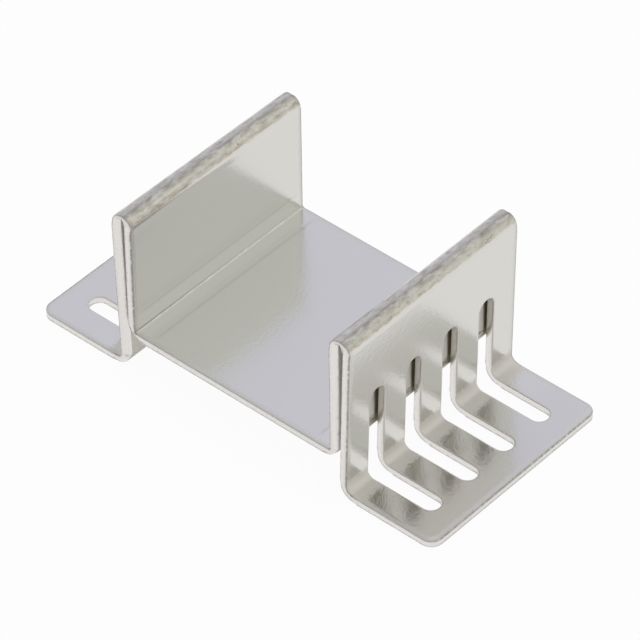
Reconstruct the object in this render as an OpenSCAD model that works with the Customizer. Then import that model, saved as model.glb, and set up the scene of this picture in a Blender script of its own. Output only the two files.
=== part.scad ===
// Board-level heat sink, folded from one strip of tin-plated copper.
// Two solder flanges carry a raised web between two hemmed walls; slots run
// from each flange up round its bend into the wall.
// Millimetres. X runs across the folds, Y along them, Z up from the board.
// The origin is in the middle of the footprint.

/* [Overall size] */
// Width over the outer edges of both flanges
width = 26.16; // [22:0.01:40]
// Depth, which is the width of the strip it is folded from
depth = 12.7; // [8:0.1:30]
// Height from the board to the top of the hems
height = 10.16; // [8:0.01:20]

/* [Strip] */
// Thickness of the strip
sheet = 0.46; // [0.3:0.01:0.6]

/* [Channel] */
// Clear width between the two walls, above the web
channel = 12.9; // [8:0.1:14]
// Height of the web's upper face above the board
web_top = 2.72; // [1.6:0.01:4]
// Inside radius of the bend between web and wall
web_bend = 0.5; // [0.2:0.05:1]

/* [Hems] */
// Gap left between the two layers of a wall
hem_gap = 0.24; // [0.1:0.01:0.6]

/* [Flanges] */
// Inside radius of the bend between wall and flange
flange_bend = 0.4; // [0.2:0.05:0.8]
// Radius of the flanges' outer corners
corner = 0.7; // [0.2:0.05:2]

/* [Slots] */
// Number of slots on each side
slots = 4; // [1:1:5]
// Width of a slot, which is also the diameter of its round ends
slot_width = 1.1; // [0.6:0.05:1.2]
// Height of a slot's upper end above the board
slot_top = 6; // [4:0.01:6.5]
// Sheet left between a slot's lower end and the flange's outer edge
slot_margin = 1.48; // [1:0.01:2]

/* [Hidden] */
$fn = 96;
edge_x = width / 2;                      // outer edge of a flange
wall_x = channel / 2;                    // inner face of a wall
hem_r = sheet + hem_gap / 2;             // outside radius of a hem
hem_z = height - hem_r;                  // height of the hem's centre
face_x = wall_x + 2 * hem_r;             // outer face of a wall
slot_r = slot_width / 2;
// the ribs beside and between the slots are all of one width
rib = (depth - slots * slot_width) / (slots + 1);
slot_y = [for (i = [0 : slots - 1]) -depth / 2 + rib + slot_r + i * (rib + slot_width)];
through = 1;                             // how far a cutter stands clear

// The section, drawn in X and Z for the right-hand side

// flat stretch of sheet between two opposite corners
module flat_run(from, to) {
    translate(from) square(to - from);
}

// quarter-turn bend: r is its inside radius, side the quadrant that it fills
module quarter_bend(centre, r, side) {
    reach = r + sheet;
    translate(centre) intersection() {
        difference() {
            circle(reach);
            circle(r);
        }
        translate([min(side.x, 0) * reach, min(side.y, 0) * reach]) square(reach);
    }
}

module half_section() {
    web_under = web_top - sheet;
    // web, from the middle to its bend
    flat_run([0, web_under], [wall_x - web_bend, web_top]);
    quarter_bend([wall_x - web_bend, web_top + web_bend], web_bend, [1, -1]);
    // inner layer of the wall, the hem over its top, and the outer layer
    flat_run([wall_x, web_top + web_bend], [wall_x + sheet, hem_z]);
    for (turn = [-1, 1]) quarter_bend([wall_x + hem_r, hem_z], hem_gap / 2, [turn, 1]);
    flat_run([face_x - sheet, sheet + flange_bend], [face_x, hem_z]);
    // out to the flange
    quarter_bend([face_x + flange_bend, sheet + flange_bend], flange_bend, [-1, -1]);
    flat_run([face_x + flange_bend, 0], [edge_x, sheet]);
}

module section() {
    half_section();
    mirror([1, 0]) half_section();
}

// What is punched out

// one slot of the right-hand side, cut through the outer layer, bend and flange
module slot_cut() {
    back = face_x - sheet - hem_gap / 2;   // in the gap, clear of both layers
    low_x = edge_x - slot_margin - slot_r; // centre of the round end on the flange
    high_z = slot_top - slot_r;            // centre of the round end on the wall
    translate([back, -slot_r, -through])
        cube([low_x - back, slot_width, high_z + through]);
    translate([low_x, 0, -through]) cylinder(r = slot_r, h = sheet + 2 * through);
    translate([back, 0, high_z]) rotate([0, 90, 0]) cylinder(r = slot_r, h = low_x - back);
}

// what lies outside the rounded corner at +X +Y
module corner_cut() {
    translate([edge_x - corner, depth / 2 - corner, -through]) difference() {
        cube([corner + through, corner + through, sheet + 2 * through]);
        translate([0, 0, -through]) cylinder(r = corner, h = sheet + 4 * through);
    }
}

module folded_sheet() {
    color("#c3c1bd") difference() {
        rotate([90, 0, 0]) linear_extrude(depth, center = true) section();
        for (side = [0, 1]) mirror([side, 0, 0]) {
            for (y = slot_y) translate([0, y, 0]) slot_cut();
            for (end = [0, 1]) mirror([0, end, 0]) corner_cut();
        }
    }
}

folded_sheet();
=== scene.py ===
"""Looks of a board-level heat sink: one strip of tin-plated copper, folded as it is in the press.

A flat blank is cut out with its slots and rounded corners, its sheared edges are softened, and a
Geometry Nodes tree folds it along a line of bends. Sizes are in millimetres and the scene in metres.
"""

from collections import namedtuple
from itertools import chain
import math

import bpy
from mathutils import Matrix, Vector
from mathutils.geometry import delaunay_2d_cdt


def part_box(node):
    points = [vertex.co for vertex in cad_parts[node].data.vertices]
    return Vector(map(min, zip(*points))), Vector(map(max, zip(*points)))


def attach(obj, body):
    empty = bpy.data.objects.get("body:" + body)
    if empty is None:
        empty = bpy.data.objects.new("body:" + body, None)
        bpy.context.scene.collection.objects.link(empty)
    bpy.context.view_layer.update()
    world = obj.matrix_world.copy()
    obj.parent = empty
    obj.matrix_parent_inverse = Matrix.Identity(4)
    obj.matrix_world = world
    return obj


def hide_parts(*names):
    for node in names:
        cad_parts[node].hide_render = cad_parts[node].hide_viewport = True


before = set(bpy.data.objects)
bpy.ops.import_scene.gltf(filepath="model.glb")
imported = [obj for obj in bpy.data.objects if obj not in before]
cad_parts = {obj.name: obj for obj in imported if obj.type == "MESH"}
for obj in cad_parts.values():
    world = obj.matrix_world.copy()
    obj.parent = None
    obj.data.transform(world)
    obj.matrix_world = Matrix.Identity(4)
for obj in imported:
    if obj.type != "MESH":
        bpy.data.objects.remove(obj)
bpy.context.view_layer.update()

MM = 0.001

# Sizes of the fold, as the part has them
low, high = (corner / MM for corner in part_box("folded_sheet"))
WIDTH = high.x - low.x
DEPTH = high.y - low.y
HEIGHT = high.z
SHEET = 0.46            # thickness
CHANNEL = 12.9          # clear width between the walls
WEB_TOP = 2.72          # web's upper face above the board
CORNER = 0.7            # flanges' outer corners
SLOTS = 4               # on each side
SLOT_WIDTH = 1.1
SLOT_TOP = 6.0          # slot's upper end above the board
SLOT_MARGIN = 1.48      # from a slot's lower end to the flange's outer edge

# How the press leaves it: left and right differ a little, and the hems close less at the front
WEB_BEND = 0.12                             # inside radius between web and wall
WEB_THIN = 0.14                             # how much thinner the sheet is in the middle of that bend
FLANGE_BEND = {"left": 0.3, "right": 0.4}   # inside radii between wall and flange
FOOT_GAP = 0.12                             # between a wall's layers beside the web
HEM_ROUND = 0.8                             # round share of a hem's head; the rest is pressed flat
BULGE = 0.03                                # how far a hem stands into the channel
BULGE_DEPTH = 1.1                           # how far below full height that sets in
BULGE_BEND = 2.0                            # radius of the wall there
# for the front and the back end of each hem, the gap under it and how far it is below full height
HEAD_GAP = {"left": (0.42, 0.34), "right": (0.46, 0.37)}
HEM_SINK = {"left": (0.11, 0.19), "right": (0.0, 0.01)}

# Sheared edges: the face rolls over towards the cut, and the back is softened, by so much into the
# sheet and so much through its thickness
ROLL_END = (0.35, 0.018)    # along the strip's own edges
ROLL_SLOT = (0.10, 0.008)   # round the slots
ROLL_FLANGE = (0.30, 0.05)  # along the front and back edges of the flanges
ROLL_CURVE = 1.4            # power by which the face rolls over; 1 is a straight slope
SOFT_CORNER = 0.03          # radius between face and cut
SOFT_BACK = (0.09, 0.05)
FLAT_BESIDE = (0.02, 0.015) # flat strips beside that, on face and back, which keep the shading even
GAP_BEVEL = (0.36, 0.30)    # at the ends of a hem, on the gap side of its left-hand layer
GAP_FADE = 0.25             # beyond the bends over which this bevel runs out
GAP_SHADE_END = (0.40, 0.7)      # how far into a hem's end it keeps its own colour, and from where painted shade darkens it fully
GAP_SHADE_SLOT = (0.0, 0.12)     # the same from a slot
GAP_SHADE_FADE = 0.4             # above the web over which the painted shade in the gap begins
FLANGE_FADE = 0.25          # beyond its bend over which a flange takes on its own roll
EDGE_BAND = 0.42            # the sheet is flat again this far from its edge
ARRIS = 0.05                # width of the painted shade line where face and cut meet
ARRIS_FACE = 0.8            # how dark it starts on the face
ARRIS_CUT = 0.1             # how dark it ends on the cut
ARRIS_WEB = 0.3             # how much of that line there is on the web
ARRIS_SLOT = 0.1            # and round the slots
ARRIS_DULLED = 0.6          # how much of it is lost where a hem is dull
ARRIS_ROLLED = 0.8          # and along a flange's front and back edges
SQUEEZE = 0.06              # how far a bend draws its outer side in from a cut edge
SQUEEZE_REACH = 0.25        # how far into the sheet that is felt
SLOT_FLARE = 0.04           # how far each side of a slot gives way where it is bent
CREASE_DEPTH = 0.005        # of the groove that the bending tool leaves on each side of a web bend
CREASE_HALF = 0.1           # half its width
CREASE_AT = 0.95            # from the end of the bend

# Wear, by lengths along the strip; a fade is the length over which it runs out
STRAIN_MIDDLE = (0.13, 0.14)    # from the middle of each hem's head to where it stretched most
STRAIN_REACH = (0.44, 0.56)     # how far that is felt
DULLED = ((-0.3, 0.44), (-0.3, 0.42))   # where each hem is dull, from the middle of its head
DULLED_FADE = 0.2
FOOT_SHADE_SPAN = (0.08, 0.5)         # where painted shade darkens the back of a wall, between its layers, above the web's bend
FOOT_SHADE_FADE = 0.3
BEND_REACH = 0.35           # how far beyond its bend a flange is dull
BEND_FADE = 0.5             # over which that runs out, on the flange and up the wall
PEBBLE_REACH = 2.0          # how far beyond its bend a flange has a fine orange peel
PEBBLE_FADE = 0.8
FLANGE_TINT_ENDS = (1.0, 0.2)        # how much the right flange is tinted darker at its front and back end
FLANGE_TINT_REACH = 2.0         # and how far in from its outer edge
FLANGE_TINT_FADE = 2.5

# Fineness of the mesh, as lengths and as numbers of steps
FLAT_STEP = 0.3         # along a flat stretch
HEM_STEP = 0.075        # along and across a hem, fine enough for its grain
HEM_GRAIN_REACH = 0.5   # how far below a hem's bends its grain still shows
BEND_STEPS = 12         # along each other bend
CREASE_STEPS = 4        # over each side of a groove
ROW_STEPS = 6           # across each rib and each slot
ROUND_STEPS = 4         # over each softened edge
CORNER_TURN = 3         # round the corner between face and cut
END_STEPS = 16          # round each end of a slot
CORNER_STEPS = 8        # round each corner of a flange
NEAREST = 0.012         # along the strip, points lie no closer than this
MERGED = 1e-7           # those of a face that are closer than this become one
SLIVER = 0.001          # a face whose middle lies no farther inside a border than this belongs outside


# The line of the fold

def turn_at(corners, number):
    """Angle through which a line turns at one of its corners."""
    here = Vector(corners[number][:2])
    before = here - Vector(corners[number - 1][:2])
    after = Vector(corners[number + 1][:2]) - here
    return math.atan2(before.x * after.y - before.y * after.x, before.dot(after))


def side_corners(side, end):
    """Corners of the sheet's middle line from the web out to a flange: x, z, bend radius and kind."""
    half = SHEET / 2
    inner = CHANNEL / 2 + half
    head = inner - BULGE
    width = SHEET + HEAD_GAP[side][end]
    foot = inner + SHEET + FOOT_GAP
    top = HEIGHT - HEM_SINK[side][end] - half
    corners = [
        (inner, WEB_TOP - half, WEB_BEND + half, "web"),
        (inner, HEIGHT - BULGE_DEPTH, BULGE_BEND, "flat"),
        (head, top, 0, "hem"),
        (head + width, top, 0, "hem"),
        (foot, half, FLANGE_BEND[side] + half, "flange"),
        (WIDTH / 2, half, 0, "end"),
    ]
    # the two bends of a hem nearly meet in the middle of its head
    hems = [n for n, corner in enumerate(corners) if corner[3] == "hem"]
    radius = HEM_ROUND * width / sum(math.tan(abs(turn_at(corners, n)) / 2) for n in hems)
    for n in hems:
        corners[n] = (*corners[n][:2], radius, "hem")
    return corners


def fold_corners(end):
    """The whole line at the front (0) or back (1), from the left flange's edge to the right one's."""
    left = [(-x, z, r, kind) for x, z, r, kind in reversed(side_corners("left", end))]
    return left + side_corners("right", end)


# A straight or round stretch of the line: its kind, its start and end by length, and how it runs
Stretch = namedtuple("Stretch", "kind start end turn place heading")


def stretches(corners):
    """The line with its corners rounded, as a list of stretches."""
    found = []
    at = 0.0
    place = Vector(corners[0][:2])
    for number in range(1, len(corners)):
        here = Vector(corners[number][:2])
        heading = (here - Vector(corners[number - 1][:2])).normalized()
        radius, kind = corners[number][2:]
        turn = turn_at(corners, number) if number < len(corners) - 1 else 0.0
        straight = (here - place).length - radius * math.tan(abs(turn) / 2)
        found.append(Stretch("flat", at, at + straight, 0.0, place, heading))
        at += straight
        place = place + straight * heading
        if turn:
            bend = Stretch(kind, at, at + radius * abs(turn), turn, place, heading)
            found.append(bend)
            at = bend.end
            place = point_of(bend, 1.0)
    return found


def point_of(stretch, share):
    """The point a share of the way along a stretch."""
    length = stretch.end - stretch.start
    if not stretch.turn:
        return stretch.place + share * length * stretch.heading
    radius = length / abs(stretch.turn)
    aside = Vector((-stretch.heading.y, stretch.heading.x)) * math.copysign(radius, stretch.turn)
    spoke = -aside
    spoke.rotate(Matrix.Rotation(stretch.turn * share, 2))
    return stretch.place + aside + spoke


FRONT, BACK = (stretches(fold_corners(end)) for end in (0, 1))
LENGTH = FRONT[-1].end
BENDS = [s for s in FRONT if s.kind in ("web", "hem", "flange")]
# a hem has one bend on the side of its outer layer and one on that of its inner layer
(LEFT_FLANGE, LEFT_OUTER, LEFT_INNER, LEFT_WEB,
 RIGHT_WEB, RIGHT_INNER, RIGHT_OUTER, RIGHT_FLANGE) = BENDS
LEFT_HEAD = (LEFT_OUTER.start + LEFT_INNER.end) / 2
RIGHT_HEAD = (RIGHT_INNER.start + RIGHT_OUTER.end) / 2
HEADS = (LEFT_HEAD, RIGHT_HEAD)
CREASES = [(bend.start - CREASE_AT, bend.end + CREASE_AT) for bend in (LEFT_WEB, RIGHT_WEB)]


def lean_at(at):
    """How far the back end's line lies from the front end's, at a length along the front one."""
    for ahead, behind in zip(FRONT, BACK):
        if at <= ahead.end or ahead is FRONT[-1]:
            share = (at - ahead.start) / (ahead.end - ahead.start)
            off = point_of(behind, share) - point_of(ahead, share)
            return Vector((off.x, 0, off.y))


def within(at, start, end, fade):
    """1 between two lengths along the line, falling to 0 at a distance beyond them."""
    return max(1 - max(start - at, at - end, 0.0) / fade, 0.0)


def hem_grain(at):
    """1 within the bends of the hems, falling to 0 at HEM_GRAIN_REACH beyond them."""
    hems = [bend for bend in BENDS if bend.kind == "hem"]
    return max(within(at, hem.start, hem.end, HEM_GRAIN_REACH) for hem in hems)


def strain_at(at):
    """1 where a hem was stretched most, 0 from STRAIN_REACH on."""
    middles = [head + off for head, off in zip(HEADS, STRAIN_MIDDLE)]
    return max(within(at, middle, middle, reach) for middle, reach in zip(middles, STRAIN_REACH))


def dulled_at(at):
    """1 over the part of a hem that bending has dulled."""
    hems = [(head + start, head + end) for head, (start, end) in zip(HEADS, DULLED)]
    return max(within(at, start, end, DULLED_FADE) for start, end in hems)


def foot_shade_at(at):
    """1 just above the web's bends, where painted shade darkens a wall's back."""
    near, far = FOOT_SHADE_SPAN
    return max(within(at, LEFT_WEB.start - far, LEFT_WEB.start - near, FOOT_SHADE_FADE),
               within(at, RIGHT_WEB.end + near, RIGHT_WEB.end + far, FOOT_SHADE_FADE))


def rubbed_at(at):
    """1 between the two grooves beside a bend of the web."""
    return max(within(at, start, end, DULLED_FADE) for start, end in CREASES)


def in_gap(at):
    """1 along a wall and its web bend, where the back faces the hem's gap, 0 on web and flanges."""
    gaps = [(LEFT_FLANGE.end, LEFT_WEB.end), (RIGHT_WEB.start, RIGHT_FLANGE.start)]
    return max(within(at, start, end, GAP_FADE) for start, end in gaps)


def bend_dulled_at(at):
    """1 on a flange's bend and on the flange close to it."""
    return max(within(at, LEFT_FLANGE.start - BEND_REACH, LEFT_FLANGE.end, BEND_FADE),
               within(at, RIGHT_FLANGE.start, RIGHT_FLANGE.end + BEND_REACH, BEND_FADE))


def on_flange(at):
    """1 on a flange from FLANGE_FADE beyond its bend on, 0 at the bend."""
    return min(max(LEFT_FLANGE.start - at, at - RIGHT_FLANGE.end, 0.0) / FLANGE_FADE, 1.0)


def pebbled_at(at):
    """1 on a flange beside its bend."""
    return max(within(at, LEFT_FLANGE.start - PEBBLE_REACH, LEFT_FLANGE.start, PEBBLE_FADE),
               within(at, RIGHT_FLANGE.end, RIGHT_FLANGE.end + PEBBLE_REACH, PEBBLE_FADE))


def flange_tint(point):
    """How much the right flange is tinted darker, which is most at its front end."""
    front, back = FLANGE_TINT_ENDS
    along = front + (back - front) * (point.y / DEPTH + 0.5)
    return along * within(point.x, LENGTH - FLANGE_TINT_REACH, LENGTH, FLANGE_TINT_FADE)


def bevelled(at):
    """1 on the left-hand layer of each hem, whose end is bevelled towards the gap."""
    return max(within(at, LEFT_FLANGE.end, LEFT_HEAD, GAP_FADE),
               within(at, RIGHT_WEB.end, RIGHT_HEAD, GAP_FADE))


def web_bent(at):
    """1 in the middle of a bend of the web, falling to 0 at its ends."""
    best = 0.0
    for bend in (LEFT_WEB, RIGHT_WEB):
        share = (at - bend.start) / (bend.end - bend.start)
        best = max(best, 1 - abs(2 * share - 1))
    return best


def stations():
    """Lengths along the line at which the blank has points: close together at bends and grooves."""
    found = [0.0, LENGTH]
    for stretch in FRONT:
        length = stretch.end - stretch.start
        steps = max(1, round(length / FLAT_STEP))
        if stretch.kind == "hem":
            steps = round(length / HEM_STEP)
        elif stretch.turn:
            steps = BEND_STEPS
        found += [stretch.start + length * (n + 1) / steps for n in range(steps)]
    for at in chain(*CREASES):
        found += [at + CREASE_HALF * n / 2 for n in range(-CREASE_STEPS, CREASE_STEPS + 1)]
    fine = [n * HEM_STEP for n in range(round(LENGTH / HEM_STEP))]
    found += [at for at in fine if 0 < hem_grain(at) < 1]
    kept = []
    for at in sorted(found):
        if not kept or at - kept[-1] > NEAREST:
            kept.append(at)
    kept[-1] = LENGTH
    return kept


# The flat blank, with its length along X, the strip's width along Y and its thickness along Z

RIB = (DEPTH - SLOTS * SLOT_WIDTH) / (SLOTS + 1)
SLOT_YS = [-DEPTH / 2 + RIB + SLOT_WIDTH / 2 + n * (RIB + SLOT_WIDTH) for n in range(SLOTS)]


def slot_places():
    """Lengths at which the centres of each slot's round ends lie, with its place across the strip."""
    radius = SLOT_WIDTH / 2
    rise = SLOT_TOP - radius - SHEET
    from_edge = SLOT_MARGIN + radius
    left = (from_edge, LEFT_FLANGE.end + rise - FLANGE_BEND["left"])
    right = (RIGHT_FLANGE.start - rise + FLANGE_BEND["right"], LENGTH - from_edge)
    return [(start, end, y) for start, end in (left, right) for y in SLOT_YS]


SLOT_PLACES = slot_places()


def around(centre, radius, first, last, steps):
    """Points of an arc with the directions out from its centre; the angles are in degrees."""
    found = []
    for n in range(steps + 1):
        a = math.radians(first + (last - first) * n / steps)
        out = Vector((math.cos(a), math.sin(a)))
        found.append((Vector(centre) + radius * out, out))
    return found


def slot_outline(start, end, y, marks):
    """Points round one slot, each with the direction into the sheet."""
    radius = SLOT_WIDTH / 2
    between = [s for s in marks if start + NEAREST < s < end - NEAREST]
    ring = around((end, y), radius, -90, 90, END_STEPS)
    ring += [(Vector((s, y + radius)), Vector((0, 1))) for s in reversed(between)]
    ring += around((start, y), radius, 90, 270, END_STEPS)
    ring += [(Vector((s, y - radius)), Vector((0, -1))) for s in between]
    return ring


def blank_outline(marks, rows):
    """Points round the blank, each with the direction into the sheet."""
    edge = DEPTH / 2
    near, far = CORNER, LENGTH - CORNER
    along = [s for s in marks if near + NEAREST < s < far - NEAREST]
    across = [y for y in rows if abs(y) < edge - CORNER - NEAREST]
    arcs = []
    for x, y, first in ((far, CORNER - edge, -90), (far, edge - CORNER, 0),
                        (near, edge - CORNER, 90), (near, CORNER - edge, 180)):
        arc = around((x, y), CORNER, first, first + 90, CORNER_STEPS)
        arcs.append([(point, -out) for point, out in arc])
    ring = [(Vector((s, -edge)), Vector((0, 1))) for s in along] + arcs[0]
    ring += [(Vector((LENGTH, y)), Vector((-1, 0))) for y in across] + arcs[1]
    ring += [(Vector((s, edge)), Vector((0, -1))) for s in reversed(along)] + arcs[2]
    ring += [(Vector((0, y)), Vector((1, 0))) for y in reversed(across)] + arcs[3]
    return ring


def depth_in_sheet(point):
    """Distance from the nearest cut edge; less than 0 in a slot."""
    x = abs(point.x - LENGTH / 2) - (LENGTH / 2 - CORNER)
    y = abs(point.y) - (DEPTH / 2 - CORNER)
    nearest = CORNER - Vector((max(x, 0), max(y, 0))).length - min(max(x, y), 0)
    for start, end, at in SLOT_PLACES:
        off = Vector((max(start - point.x, point.x - end, 0), point.y - at))
        nearest = min(nearest, off.length - SLOT_WIDTH / 2)
    return nearest


def covered(point, start, end):
    """0 where a hem's gap opens, at an end or a slot, up to start into it, and 1 from end on."""
    head = min(HEADS, key=lambda middle: abs(point.x - middle))
    opposite = Vector((2 * head - point.x, point.y))
    depth = min(depth_in_sheet(point), depth_in_sheet(opposite))
    inside = min(max((depth - start) / (end - start), 0.0), 1.0)
    tall = HEIGHT - WEB_TOP - GAP_SHADE_FADE
    return inside * within(point.x, head - tall, head + tall, GAP_SHADE_FADE)


def bare(point):
    """How much painted shade darkens the inside of a hem, deeper in from its openings."""
    near_end = DEPTH / 2 - abs(point.y) < RIB / 2
    return covered(point, *(GAP_SHADE_END if near_end else GAP_SHADE_SLOT))


def strip_rows():
    """Places of the rows of points across the strip, evenly over each rib and each slot."""
    marks = [-DEPTH / 2]
    for y in SLOT_YS:
        marks += [y - SLOT_WIDTH / 2, y + SLOT_WIDTH / 2]
    marks.append(DEPTH / 2)
    rows = []
    for number, (start, end) in enumerate(zip(marks, marks[1:])):
        over_slot = number % 2
        inset = -EDGE_BAND if over_slot else EDGE_BAND
        start, end = start + inset, end - inset
        rows += [start + (end - start) * n / ROW_STEPS for n in range(ROW_STEPS + 1)]
    return sorted({round(y, 6) for y in rows})


def grid_points(marks, rows):
    """Points inside the blank, finer over the hems and the walls' inner layers."""
    count = round(DEPTH / HEM_STEP)
    fine = [DEPTH * (n / count - 0.5) for n in range(1, count)]
    points = []
    for s in marks:
        inner_layer = (LEFT_INNER.end < s < LEFT_WEB.start
                       or RIGHT_WEB.end < s < RIGHT_INNER.start)
        across = fine if inner_layer or hem_grain(s) > 0 else rows
        points += [Vector((s, y)) for y in across]
    return [p for p in points if depth_in_sheet(p) > EDGE_BAND + HEM_STEP / 2]


# A point of the sheared edge: how far into the sheet, its height, and whether it belongs to the cut
# (1) or a face (0), to the arris between them, with its line of painted shade, and to the rim of the
# face, which tumbling has dulled
EdgePoint = namedtuple("EdgePoint", "into height cut arris rim")


def roll_at(point, inward, is_slot):
    """How far into the sheet and how far through it the face rolls over at a point of an edge."""
    if is_slot:
        return ROLL_SLOT
    share = abs(inward.y) * on_flange(point.x)
    return [end + share * (flange - end) for end, flange in zip(ROLL_END, ROLL_FLANGE)]


def edge_profile(roll, bevel):
    """The sheared edge from the face round to the back, with a share of the bevel on the back."""
    half = SHEET / 2
    deep, thick = roll
    rows = [EdgePoint(deep + FLAT_BESIDE[0], half, 0.0, 0.0, 0.0)]
    for n in range(ROUND_STEPS + 1):
        share = n / ROUND_STEPS
        place = (deep + share * (SOFT_CORNER - deep), half - thick * share ** ROLL_CURVE)
        last_quarter = max(4 * share - 3, 0)
        rows.append(EdgePoint(*place, 0.0, ARRIS_FACE * last_quarter, share))
    for n in range(1, CORNER_TURN + 1):
        share = n / CORNER_TURN
        a = math.radians(90 * share)
        place = (SOFT_CORNER * (1 - math.sin(a)), half - thick - SOFT_CORNER * (1 - math.cos(a)))
        rows.append(EdgePoint(*place, share, 1.0, 0.0))
    rows.append(EdgePoint(0.0, half - thick - SOFT_CORNER - ARRIS, 1.0, ARRIS_CUT, 0.0))
    deep, thick = (soft + bevel * (wide - soft) for soft, wide in zip(SOFT_BACK, GAP_BEVEL))
    for n in range(ROUND_STEPS + 1):
        share = n / ROUND_STEPS
        # a small softening is a parabola, and over half of it the finish of the cut runs out;
        # the bevel is straight, and cut all over
        place = (deep * share, thick * (1 - share) ** (2 - bevel) - half)
        rows.append(EdgePoint(*place, min(2 * (1 - share) + bevel, 1), 0.0, 0.0))
    return rows + [EdgePoint(deep + FLAT_BESIDE[1], -half, 0.0, 0.0, 0.0)]


def thinned(at, height):
    """Height of a point of the sheet where the web's bends have drawn their outside in."""
    return height * (1 - 2 * WEB_THIN / SHEET * web_bent(at)) if height < 0 else height


def squeezed(point):
    """Shift across the strip where a bend pinches its inner side and draws its outer side in."""
    height = point.z / (SHEET / 2)
    shift = 0.0
    for bend in BENDS:
        off = max(bend.start - point.x, point.x - bend.end, 0.0)
        if off > SQUEEZE_REACH:
            continue
        fade = 0.5 + 0.5 * math.cos(math.pi * off / SQUEEZE_REACH)
        inner = math.copysign(1.0, bend.turn) * height
        edge = math.exp((abs(point.y) - DEPTH / 2) / SQUEEZE_REACH)
        shift -= math.copysign(1.0, point.y) * SQUEEZE * fade * (1 - inner) / 2 * edge
        for start, end, at in SLOT_PLACES:
            if start < point.x < end:
                aside = point.y - at
                edge = min(math.exp((SLOT_WIDTH / 2 - abs(aside)) / SQUEEZE_REACH), 1.0)
                shift += math.copysign(1.0, aside) * fade * edge * (SLOT_FLARE - SQUEEZE * inner / 2)
    return shift


def creased(point):
    """How deep the grooves are at a point of the face: 1 in their middle, less towards a cut edge."""
    inside = min(max(depth_in_sheet(point) / (2 * EDGE_BAND), 0.0), 1.0)
    return inside * sum(math.exp(-((point.x - at) / CREASE_HALF) ** 2) for at in chain(*CREASES))


def arris_shade(point, inward, is_slot):
    """How dark the painted shade line where face and cut meet is: less on the web, on a dull hem,
    round the slots and along a flange's rolled edges."""
    at = point.x
    if is_slot:
        return ARRIS_SLOT
    if LEFT_WEB.end < at < RIGHT_WEB.start:
        return ARRIS_WEB
    return (1 - ARRIS_DULLED * dulled_at(at)) * (1 - ARRIS_ROLLED * abs(inward.y) * on_flange(at))


def face_triangles(outlines, inner):
    """Points of a face inside its softened edges, and the triangles between them."""
    inset = [point + EDGE_BAND * inward for ring in outlines for point, inward in ring]
    borders = []
    for ring in outlines:
        first = len(borders)
        borders += [(first + n, first + (n + 1) % len(ring)) for n in range(len(ring))]
    spots, _, triangles, _, _, _ = delaunay_2d_cdt(inset + inner, borders, [], 0, MERGED)
    # slivers along the borders lie outside them
    kept = []
    for triangle in triangles:
        middle = sum((spots[i] for i in triangle), Vector((0, 0))) / 3
        if depth_in_sheet(middle) > EDGE_BAND + SLIVER:
            kept.append(tuple(triangle))
    return spots, kept


# A point of the blank: its place, with the traits that depend on where it lies on a face or an edge
BlankPoint = namedtuple("BlankPoint", "place cut arris rim crease gap bare", defaults=6 * (0.0,))


def edge_point(at, point, inward, is_slot):
    """A point of the sheared edge, set on the blank beside a point of its outline."""
    place = Vector((*(point + at.into * inward), thinned(point.x, at.height)))
    return BlankPoint(
        place, at.cut, at.arris * arris_shade(point, inward, is_slot), at.rim,
        gap=in_gap(point.x) * (at.height < 0) * (1 - at.cut))


def blank_points():
    """All points of the blank, and its faces as numbers of these points."""
    marks = stations()
    rows = strip_rows()
    outlines = [blank_outline(marks, rows)] + [slot_outline(*place, marks) for place in SLOT_PLACES]
    spots, triangles = face_triangles(outlines, grid_points(marks, rows))
    half = SHEET / 2
    points = []
    for p in spots:
        crease = creased(p)
        points.append(BlankPoint(Vector((*p, half - CREASE_DEPTH * crease)), crease=crease))
    back = len(points)
    for p in spots:
        # the back carries painted shade deeper inside a hem's gap
        points.append(BlankPoint(Vector((*p, thinned(p.x, -half))), gap=in_gap(p.x), bare=bare(p)))
    faces = triangles + [tuple(back + i for i in reversed(t)) for t in triangles]
    first = 0
    for number, ring in enumerate(outlines):
        is_slot = number > 0
        size = len(ring)
        bands = [list(range(first, first + size))]
        first += size
        rolls = [roll_at(*spot, is_slot) for spot in ring]
        bevels = [0 if is_slot else bevelled(point.x) for point, _ in ring]
        profiles = [edge_profile(*shape) for shape in zip(rolls, bevels)]
        for row in zip(*profiles):
            bands.append(list(range(len(points), len(points) + size)))
            points += [edge_point(at, *spot, is_slot) for at, spot in zip(row, ring)]
        bands.append([back + i for i in bands[0]])
        for upper, lower in zip(bands, bands[1:]):
            for n in range(size):
                after = (n + 1) % size
                quad = (upper[n], lower[n], lower[after], upper[after])
                faces.append(tuple(reversed(quad)) if is_slot else quad)
    return points, faces


def flat_blank():
    """The blank as a mesh, with what its material and folding need to know at each point."""
    points, faces = blank_points()
    flat = [point.place for point in points]
    pinched = [MM * Vector((p.x, p.y + squeezed(p), p.z)) for p in flat]
    mesh = bpy.data.meshes.new("tinned_sheet")
    mesh.from_pydata(pinched, [], faces)
    traits = {name: [getattr(point, name) for point in points] for name in BlankPoint._fields[1:]}
    traits.update({
        "strain": [strain_at(p.x) for p in flat],
        "dulled": [dulled_at(p.x) for p in flat],
        "rubbed": [rubbed_at(p.x) * (p.z > 0) for p in flat],
        "bend": [bend_dulled_at(point.place.x) * (1 - point.cut) for point in points],
        "pebbled": [pebbled_at(p.x) * (p.z > 0) for p in flat],
        "corner": [web_bent(p.x) * (p.z > 0) for p in flat],
        # painted shade on a wall's back above the web's bends, lighter towards the strip's open ends
        "foot_shade": [foot_shade_at(p.x) * (p.z < 0) * min(DEPTH / 2 - abs(p.y), 1) for p in flat],
        "flange_tint": [flange_tint(p) for p in flat],
    })
    for name, values in traits.items():
        mesh.attributes.new(name, "FLOAT", "POINT").data.foreach_set("value", values)
    for name, values in {
        "flat": flat,
        "lean": [lean_at(min(max(p.x, 0), LENGTH)) for p in flat],
    }.items():
        held = mesh.attributes.new(name, "FLOAT_VECTOR", "POINT")
        held.data.foreach_set("vector", [MM * c for value in values for c in value])
    return mesh


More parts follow.
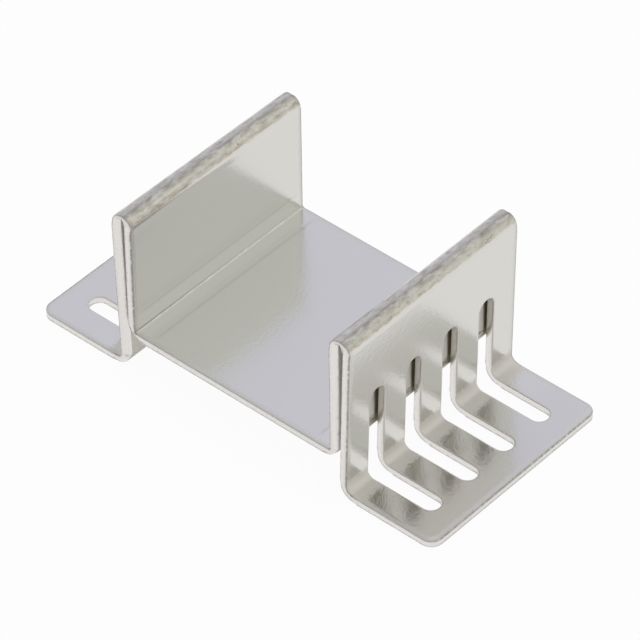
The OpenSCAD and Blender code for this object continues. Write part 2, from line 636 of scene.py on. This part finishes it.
def fold_line():
    """The front end's line as a chain of corners, each with the radius it is bent to."""
    corners = fold_corners(0)
    mesh = bpy.data.meshes.new("fold_line")
    mesh.from_pydata([(x * MM, 0, z * MM) for x, z, _, _ in corners],
                     [(n, n + 1) for n in range(len(corners) - 1)], [])
    radius = mesh.attributes.new("bend_radius", "FLOAT", "POINT")
    radius.data.foreach_set("value", [r * MM for _, _, r, _ in corners])
    line = bpy.data.objects.new("fold_line", mesh)
    bpy.context.collection.objects.link(line)
    return line


# Nodes

def linear(colour):
    """A colour written as sRGB hex, in linear light."""
    parts = [int(colour[i:i + 2], 16) / 255 for i in (1, 3, 5)]
    return tuple(p / 12.92 if p <= 0.04045 else ((p + 0.055) / 1.055) ** 2.4 for p in parts) + (1.0,)


def add(tree, kind, inputs=(), **settings):
    """Adds a node. Each input, by name or number, takes a value, a colour as hex, an output, or another
    node, which stands for the first of its outputs in use."""
    made = tree.nodes.new(kind)
    for name, value in settings.items():
        setattr(made, name, value)
    for name, value in dict(inputs).items():
        if isinstance(value, bpy.types.Node):
            value = next(output for output in value.outputs if output.enabled)
        if isinstance(value, bpy.types.NodeSocket):
            tree.links.new(value, made.inputs[name])
        else:
            is_colour = isinstance(value, str) and value.startswith("#")
            made.inputs[name].default_value = linear(value) if is_colour else value
    return made


# Folding

ARC_STEPS = 40      # of the fold line round each bend
GRAIN_DEPTH = 0.018
GRAIN_SIZE = 0.25
GRAIN_SEED = 3.0
ALONG_HEM = 0.25    # how fine the grain is along a hem, compared with across it


def fold_tree():
    """Wraps the flat blank round the fold line and sinks in the grain that stretching leaves."""
    tree = bpy.data.node_groups.new("fold_strip", "GeometryNodeTree")
    for name, kind in (
        ("Blank", "NodeSocketGeometry"),
        ("Fold line", "NodeSocketObject"),
        ("Arc steps", "NodeSocketInt"),
        ("Strip width", "NodeSocketFloat"),
        ("Peel depth", "NodeSocketFloat"),
        ("Peel size", "NodeSocketFloat"),
        ("Seed", "NodeSocketFloat"),
        ("Plating", "NodeSocketMaterial"),
    ):
        tree.interface.new_socket(name, in_out="INPUT", socket_type=kind)
    tree.interface.new_socket("Folded", in_out="OUTPUT", socket_type="NodeSocketGeometry")
    given = add(tree, "NodeGroupInput").outputs
    # the fold line with its corners rounded
    line = add(tree, "GeometryNodeObjectInfo", {"Object": given["Fold line"]})
    curve = add(tree, "GeometryNodeMeshToCurve", {"Mesh": line.outputs["Geometry"]})
    radius = add(tree, "GeometryNodeInputNamedAttribute", {"Name": "bend_radius"}, data_type="FLOAT")
    rounded = add(tree, "GeometryNodeFilletCurve", {
        "Curve": curve, "Count": given["Arc steps"], "Radius": radius}, mode="POLY")
    # each point goes as far along the line as it lies along the blank
    place = add(tree, "ShaderNodeSeparateXYZ", {0: add(tree, "GeometryNodeInputPosition")})
    sample = add(tree, "GeometryNodeSampleCurve", {
        "Curves": rounded, "Length": place.outputs["X"]}, mode="LENGTH")
    outward = add(tree, "ShaderNodeVectorMath", {
        0: sample.outputs["Tangent"], 1: (0, 1, 0)}, operation="CROSS_PRODUCT")
    unit = add(tree, "ShaderNodeVectorMath", {0: outward}, operation="NORMALIZE")
    rise = add(tree, "ShaderNodeVectorMath", {0: unit, "Scale": place.outputs["Z"]}, operation="SCALE")
    across = add(tree, "ShaderNodeCombineXYZ", {"Y": place.outputs["Y"]})
    folded = add(tree, "ShaderNodeVectorMath", {0: sample.outputs["Position"], 1: rise})
    folded = add(tree, "ShaderNodeVectorMath", {0: folded, 1: across})
    # towards the back the line changes a little
    backward = add(tree, "ShaderNodeMath", {
        0: place.outputs["Y"], 1: given["Strip width"]}, operation="DIVIDE")
    backward = add(tree, "ShaderNodeMath", {0: backward, 1: 0.5})
    lean = add(tree, "GeometryNodeInputNamedAttribute", {"Name": "lean"}, data_type="FLOAT_VECTOR")
    shift = add(tree, "ShaderNodeVectorMath", {0: lean, "Scale": backward}, operation="SCALE")
    bent = add(tree, "GeometryNodeSetPosition", {
        "Geometry": given["Blank"], "Position": folded, "Offset": shift})
    # orange peel on the hems, sunk into the surface
    flat = add(tree, "GeometryNodeInputNamedAttribute", {"Name": "flat"}, data_type="FLOAT_VECTOR")
    dulled = add(tree, "GeometryNodeInputNamedAttribute", {"Name": "dulled"}, data_type="FLOAT")
    drawn = add(tree, "ShaderNodeVectorMath", {0: flat, 1: (1, ALONG_HEM, 1)}, operation="MULTIPLY")
    scale = add(tree, "ShaderNodeMath", {0: 1.0, 1: given["Peel size"]}, operation="DIVIDE")
    noise = add(tree, "ShaderNodeTexNoise", {
        "Vector": drawn, "W": given["Seed"], "Scale": scale, "Detail": 2.0}, noise_dimensions="4D")
    dip = add(tree, "ShaderNodeMath", {0: noise, 1: dulled}, operation="MULTIPLY")
    dip = add(tree, "ShaderNodeMath", {0: dip, 1: given["Peel depth"]}, operation="MULTIPLY")
    dip = add(tree, "ShaderNodeMath", {0: dip, 1: -1.0}, operation="MULTIPLY")
    normal = add(tree, "GeometryNodeInputNormal")
    offset = add(tree, "ShaderNodeVectorMath", {0: normal, "Scale": dip}, operation="SCALE")
    peeled = add(tree, "GeometryNodeSetPosition", {"Geometry": bent, "Offset": offset})
    smooth = add(tree, "GeometryNodeSetShadeSmooth", {"Geometry": peeled})
    plated = add(tree, "GeometryNodeSetMaterial", {"Geometry": smooth, "Material": given["Plating"]})
    real = add(tree, "GeometryNodeRealizeInstances", {"Geometry": plated})
    add(tree, "NodeGroupOutput", {0: real})
    return tree


def folded_sheet(plating):
    """The blank, folded into the finished piece as a plain mesh."""
    line = fold_line()
    blank = bpy.data.objects.new("blank", flat_blank())
    bpy.context.collection.objects.link(blank)
    tree = fold_tree()
    fold = blank.modifiers.new("fold", "NODES")
    fold.node_group = tree
    inputs = {
        "Fold line": line,
        "Arc steps": ARC_STEPS,
        "Strip width": DEPTH * MM,
        "Peel depth": GRAIN_DEPTH * MM,
        "Peel size": GRAIN_SIZE * MM,
        "Seed": GRAIN_SEED,
        "Plating": plating,
    }
    for item in tree.interface.items_tree:
        if item.in_out == "INPUT" and item.name in inputs:
            fold[item.identifier] = inputs[item.name]
    shown = blank.evaluated_get(bpy.context.evaluated_depsgraph_get())
    mesh = bpy.data.meshes.new_from_object(shown)
    mesh.name = "tinned_sheet"
    for helper in (blank, line):
        bpy.data.objects.remove(helper)
    piece = bpy.data.objects.new("tinned_sheet", mesh)
    bpy.context.collection.objects.link(piece)
    return piece


# Materials

TIN = "#d8d6d1"                 # as it leaves the bath
# a little darker, towards the right flange's front end
FLANGE_FRONT_TINT = "#d3ceca"
HAZE = ("#b5b0a5", "#d5d1c9")   # dark and pale streaks of a dulled hem
BAND = ("#908a7e", "#c8c3ba")   # the same where it was stretched most
HEM_SPECK = "#a6a294"
FLANGE_BENT = "#e0dcd4"
# speckles of worked metal and painted shade in the web's inside corners
WEB_CORNER_SPECKS_AND_SHADE = "#aaa69c"
# painted shade in the grooves beside the web's bends
GROOVE_SHADE = "#aba79c"
RUBBED = "#e2dfda"
MATT_TIN = "#f4f1e8"            # just inside a hem
DEEP_GAP_SHADE = "#7d7352"         # painted shade deeper inside it
# painted shade on a wall's back, above the web's bend
FOOT_SHADE_COLOUR = "#a19c82"
SHEARED = "#e6e3e1"             # cut edge
TORN = "#dedad4"                # cut edge towards the face
# painted shade along the line where face and cut meet
ARRIS_SHADE_COLOUR = "#98938a"

# Sizes of what the noises draw
STREAK_SIZE = 0.14
SPECK_SIZE = 0.09
PEEL_SIZE = 0.18
CLOUD_SIZE = 0.5
PEBBLE_SIZE = 0.08
RELIEF_DEPTH = 0.02     # of the peel, streaks and pebbles, as a bump


def new_material(name):
    """An empty node material; returns it with its tree."""
    made = bpy.data.materials.new(name)
    made.use_nodes = True
    made.node_tree.nodes.clear()
    return made, made.node_tree


def electroplated_tin():
    """Bright tin plated over copper: a soft, warm mirror, dulled wherever the sheet was worked."""
    made, tree = new_material("electroplated_tin")
    place = add(tree, "ShaderNodeAttribute", attribute_name="flat").outputs["Vector"]
    height = add(tree, "ShaderNodeSeparateXYZ", {0: place}).outputs["Z"]
    cut, arris, rim, crease, gap, bare, strain, dulled, rubbed, bend, pebbled, corner, foot_shade, flange_tint = (
        add(tree, "ShaderNodeAttribute", attribute_name=name).outputs["Fac"]
        for name in ("cut", "arris", "rim", "crease", "gap", "bare", "strain", "dulled", "rubbed",
                     "bend", "pebbled", "corner", "foot_shade", "flange_tint"))
    # the noises of a hem are drawn out along it
    drawn = add(tree, "ShaderNodeVectorMath", {0: place, 1: (1, ALONG_HEM, 1)}, operation="MULTIPLY")
    streaks, specks, peel, clouds, pebbles = (
        add(tree, "ShaderNodeTexNoise", {"Vector": where, "Scale": 1 / (size * MM), "Detail": detail})
        for where, size, detail in (
            (drawn, STREAK_SIZE, 4.0),
            (drawn, SPECK_SIZE, 2.0),
            (place, PEEL_SIZE, 2.0),
            (place, CLOUD_SIZE, 3.0),
            (place, PEBBLE_SIZE, 1.0)))

    # hems: a dark streaky band where they were stretched most, and a thin haze with a ragged border
    edge = add(tree, "ShaderNodeMath", {0: streaks, 1: 0.8, 2: strain}, operation="MULTIPLY_ADD")
    worst = add(tree, "ShaderNodeMapRange", {
        "Value": edge, "From Min": 0.95, "From Max": 1.25}, interpolation_type="SMOOTHSTEP")
    edge = add(tree, "ShaderNodeMath", {0: clouds, 1: 0.9, 2: dulled}, operation="MULTIPLY_ADD")
    hazy = add(tree, "ShaderNodeMapRange", {
        "Value": edge, "From Min": 0.95, "From Max": 1.25}, interpolation_type="SMOOTHSTEP")
    share = add(tree, "ShaderNodeMapRange", {"Value": streaks, "From Min": 0.3, "From Max": 0.66})
    haze = add(tree, "ShaderNodeMix", {0: share, 6: HAZE[0], 7: HAZE[1]}, data_type="RGBA")
    band = add(tree, "ShaderNodeMix", {0: share, 6: BAND[0], 7: BAND[1]}, data_type="RGBA")
    colour = add(tree, "ShaderNodeMix", {0: flange_tint, 6: TIN, 7: FLANGE_FRONT_TINT}, data_type="RGBA")
    colour = add(tree, "ShaderNodeMix", {0: hazy, 6: colour, 7: haze}, data_type="RGBA")
    colour = add(tree, "ShaderNodeMix", {0: worst, 6: colour, 7: band}, data_type="RGBA")
    share = add(tree, "ShaderNodeMapRange", {"Value": specks, "From Min": 0.55, "From Max": 0.75})
    share = add(tree, "ShaderNodeMath", {0: share, 1: hazy}, operation="MULTIPLY")
    colour = add(tree, "ShaderNodeMix", {0: share, 6: colour, 7: HEM_SPECK}, data_type="RGBA")

    # bends of the flanges are dull up to an uneven border; the web's inside corners get speckled wear
    # and painted shade, the grooves a little painted shade, and the web's corners are rubbed
    edge = add(tree, "ShaderNodeMath", {0: peel, 1: 0.8, 2: bend}, operation="MULTIPLY_ADD")
    bend = add(tree, "ShaderNodeMapRange", {
        "Value": edge, "From Min": 0.5, "From Max": 1.3}, interpolation_type="SMOOTHSTEP")
    colour = add(tree, "ShaderNodeMix", {0: bend, 6: colour, 7: FLANGE_BENT}, data_type="RGBA")
    share = add(tree, "ShaderNodeMapRange", {"Value": specks, "From Min": 0.3, "From Max": 0.6})
    share = add(tree, "ShaderNodeMath", {0: corner, 1: share}, operation="MULTIPLY")
    colour = add(tree, "ShaderNodeMix", {0: share, 6: colour, 7: WEB_CORNER_SPECKS_AND_SHADE}, data_type="RGBA")
    # painted shade darkens the grooves a little
    share = add(tree, "ShaderNodeMath", {0: crease, 1: 0.3}, operation="MULTIPLY")
    colour = add(tree, "ShaderNodeMix", {0: share, 6: colour, 7: GROOVE_SHADE}, data_type="RGBA")
    share = add(tree, "ShaderNodeMath", {0: rubbed, 1: specks}, operation="MULTIPLY")
    share = add(tree, "ShaderNodeMath", {0: share, 1: 0.4}, operation="MULTIPLY")
    colour = add(tree, "ShaderNodeMix", {0: share, 6: colour, 7: RUBBED}, data_type="RGBA")

    # inside a hem the bath hardly reaches: the tin is matt and whitish, and farther in painted shade
    # darkens it; above the web's bends painted shade darkens the wall's back between its layers
    inside = add(tree, "ShaderNodeMix", {0: bare, 6: MATT_TIN, 7: DEEP_GAP_SHADE}, data_type="RGBA")
    colour = add(tree, "ShaderNodeMix", {0: gap, 6: colour, 7: inside}, data_type="RGBA")
    # painted shade, speckled, on a wall's back just above the web's bends
    edge = add(tree, "ShaderNodeMath", {0: specks, 1: 1.5, 2: foot_shade}, operation="MULTIPLY_ADD")
    share = add(tree, "ShaderNodeMapRange", {
        "Value": edge, "From Min": 1.3, "From Max": 1.9}, interpolation_type="SMOOTHSTEP")
    colour = add(tree, "ShaderNodeMix", {0: share, 6: colour, 7: FOOT_SHADE_COLOUR}, data_type="RGBA")

    # cut edges: bright where the punch sheared, a little browner towards the face where the metal
    # tore, and a line of painted shade along the arris
    torn = add(tree, "ShaderNodeMath", {0: peel, 1: 0.25 * MM, 2: height}, operation="MULTIPLY_ADD")
    torn = add(tree, "ShaderNodeMapRange", {
        "Value": torn, "From Min": 0.10 * MM, "From Max": 0.30 * MM})
    sheared = add(tree, "ShaderNodeMix", {0: torn, 6: SHEARED, 7: TORN}, data_type="RGBA")
    colour = add(tree, "ShaderNodeMix", {0: cut, 6: colour, 7: sheared}, data_type="RGBA")
    share = add(tree, "ShaderNodeMapRange", {"Value": peel, "From Min": 0.2, "From Max": 0.55})
    share = add(tree, "ShaderNodeMath", {0: share, 1: arris}, operation="MULTIPLY")
    colour = add(tree, "ShaderNodeMix", {0: share, 6: colour, 7: ARRIS_SHADE_COLOUR}, data_type="RGBA")

    rough = add(tree, "ShaderNodeMath", {0: worst, 1: 0.06, 2: 0.18}, operation="MULTIPLY_ADD")
    for part, more in (
            (hazy, 0.06), (bend, 0.27), (corner, 0.1), (cut, 0.08), (rim, 0.3), (gap, 0.5)):
        rough = add(tree, "ShaderNodeMath", {0: part, 1: more, 2: rough}, operation="MULTIPLY_ADD")
    # fine orange peel all over, stronger where the metal was worked
    strength = add(tree, "ShaderNodeMath", {0: worst, 1: 0.2, 2: 0.25}, operation="MULTIPLY_ADD")
    for part, more in (
            (hazy, 0.15), (bend, 0.3), (pebbled, 0.4), (corner, 0.6), (cut, 0.4), (rim, 0.3)):
        strength = add(tree, "ShaderNodeMath", {
            0: part, 1: more, 2: strength}, operation="MULTIPLY_ADD")
    relief = add(tree, "ShaderNodeMix", {0: hazy, 2: peel, 3: streaks})
    relief = add(tree, "ShaderNodeMix", {0: pebbled, 2: relief, 3: pebbles})
    bump = add(tree, "ShaderNodeBump", {
        "Height": relief, "Strength": strength, "Distance": RELIEF_DEPTH * MM})
    matt = add(tree, "ShaderNodeMath", {0: bend, 1: 0.85, 2: gap}, operation="MULTIPLY_ADD")
    matt = add(tree, "ShaderNodeMath", {0: rim, 1: 0.35, 2: matt}, operation="MULTIPLY_ADD")
    metallic = add(tree, "ShaderNodeMath", {0: 1.0, 1: matt}, operation="SUBTRACT", use_clamp=True)
    shader = add(tree, "ShaderNodeBsdfPrincipled", {
        "Base Color": colour, "Metallic": metallic, "Roughness": rough, "Normal": bump})
    add(tree, "ShaderNodeOutputMaterial", {"Surface": shader})
    return made


GLOW = 0.94     # share of the board that shows plain white; the rest shows the part's shadow


def white_table():
    """Matt white board under the part, which an eye below it sees through."""
    made, tree = new_material("matt_white_board")
    board = add(tree, "ShaderNodeBsdfDiffuse", {"Color": "#ffffff"})
    glow = add(tree, "ShaderNodeEmission", {"Color": "#ffffff", "Strength": 1.0})
    seen = add(tree, "ShaderNodeLightPath")
    either = add(tree, "ShaderNodeMath", {
        0: seen.outputs["Is Camera Ray"], 1: seen.outputs["Is Glossy Ray"]}, operation="MAXIMUM")
    share = add(tree, "ShaderNodeMath", {0: either, 1: GLOW}, operation="MULTIPLY")
    mixed = add(tree, "ShaderNodeMixShader", {0: share, 1: board, 2: glow})
    under = add(tree, "ShaderNodeNewGeometry").outputs["Backfacing"]
    gone = add(tree, "ShaderNodeBsdfTransparent")
    mixed = add(tree, "ShaderNodeMixShader", {0: under, 1: mixed, 2: gone})
    add(tree, "ShaderNodeOutputMaterial", {"Surface": mixed})
    return made


# The stage

FLOOR_REACH = 400       # from its middle to each side
FLOOR_DROP = 0.01       # below the part


def floor():
    """A wide table top just under the part."""
    size = FLOOR_REACH * MM
    mesh = bpy.data.meshes.new("floor")
    corners = [(-size, -size, 0), (size, -size, 0), (size, size, 0), (-size, size, 0)]
    mesh.from_pydata(corners, [], [(0, 1, 2, 3)])
    mesh.materials.append(white_table())
    table = bpy.data.objects.new("floor", mesh)
    table.location.z = -FLOOR_DROP * MM
    bpy.context.collection.objects.link(table)


ALL_ROUND = "#e5e7f4"   # light from everywhere else
# name, direction it lies in, the cosines between which it grows to its own colour, and that colour
LIGHT_ZONES = [
    ("right", (0.9, 0.5, 0.3), 0.5, 0.9, "#f1eee9"),
    ("overhead", (0.25, 0.45, 0.85), 0.77, 0.90, "#fbffff"),
    ("front", (-0.1, -1.0, 0.5), 0.3, 0.9, "#b0aea8"),
]


def studio():
    """Soft light from all round: brightest overhead, warmer from the right, weaker from the front."""
    world = bpy.data.worlds.new("studio")
    bpy.context.scene.world = world
    world.use_nodes = True
    tree = world.node_tree
    tree.nodes.clear()
    toward = add(tree, "ShaderNodeTexCoord").outputs["Generated"]
    colour = ALL_ROUND
    for name, axis, start, end, tint in LIGHT_ZONES:
        facing = add(tree, "ShaderNodeVectorMath", {
            0: toward, 1: Vector(axis).normalized()}, operation="DOT_PRODUCT")
        share = add(tree, "ShaderNodeMapRange", {
            "Value": facing, "From Min": start, "From Max": end}, interpolation_type="SMOOTHSTEP")
        colour = add(tree, "ShaderNodeMix", {0: share, 6: colour, 7: tint}, data_type="RGBA", label=name)
    light = add(tree, "ShaderNodeBackground", {"Color": colour, "Strength": 1.0})
    plain = add(tree, "ShaderNodeBackground", {"Color": "#ffffff", "Strength": 1.0})
    seen = add(tree, "ShaderNodeLightPath").outputs["Is Camera Ray"]
    both = add(tree, "ShaderNodeMixShader", {0: seen, 1: light, 2: plain})
    add(tree, "ShaderNodeOutputWorld", {"Surface": both})


# Camera, solved from the part's straight edges in the photo: degrees and millimetres
VIEW_AZIMUTH = 41.822
VIEW_ELEVATION = 42.311
VIEW_ROLL = -0.827
VIEW_AIM = (-4.969, 5.859, -3.934)
VIEW_DISTANCE = 276.434
VIEW_LENS = 299.99
VIEW_SENSOR = 36
VIEW_REACH = (0.01, 10)     # from how near to how far it sees, in metres


def camera():
    """The photo's camera, as angles and a distance from the point that it aims at."""
    a, e, roll = (math.radians(v) for v in (VIEW_AZIMUTH, VIEW_ELEVATION, VIEW_ROLL))
    back = Vector((math.sin(a) * math.cos(e), -math.cos(a) * math.cos(e), math.sin(e)))
    right = Vector((math.cos(a), math.sin(a), 0))
    up = back.cross(right)
    right, up = (math.cos(roll) * right + math.sin(roll) * up,
                 math.cos(roll) * up - math.sin(roll) * right)
    data = bpy.data.cameras.new("camera")
    data.lens = VIEW_LENS
    data.sensor_width = VIEW_SENSOR
    data.clip_start, data.clip_end = VIEW_REACH
    seen = bpy.data.objects.new("camera", data)
    bpy.context.collection.objects.link(seen)
    place = (Vector(VIEW_AIM) + VIEW_DISTANCE * back) * MM
    seen.matrix_world = Matrix.Translation(place) @ Matrix((right, up, back)).transposed().to_4x4()
    bpy.context.scene.camera = seen


sheet = folded_sheet(electroplated_tin())
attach(sheet, "root")
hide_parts("folded_sheet")
floor()
studio()
camera()
bpy.context.scene.view_settings.view_transform = "Standard"
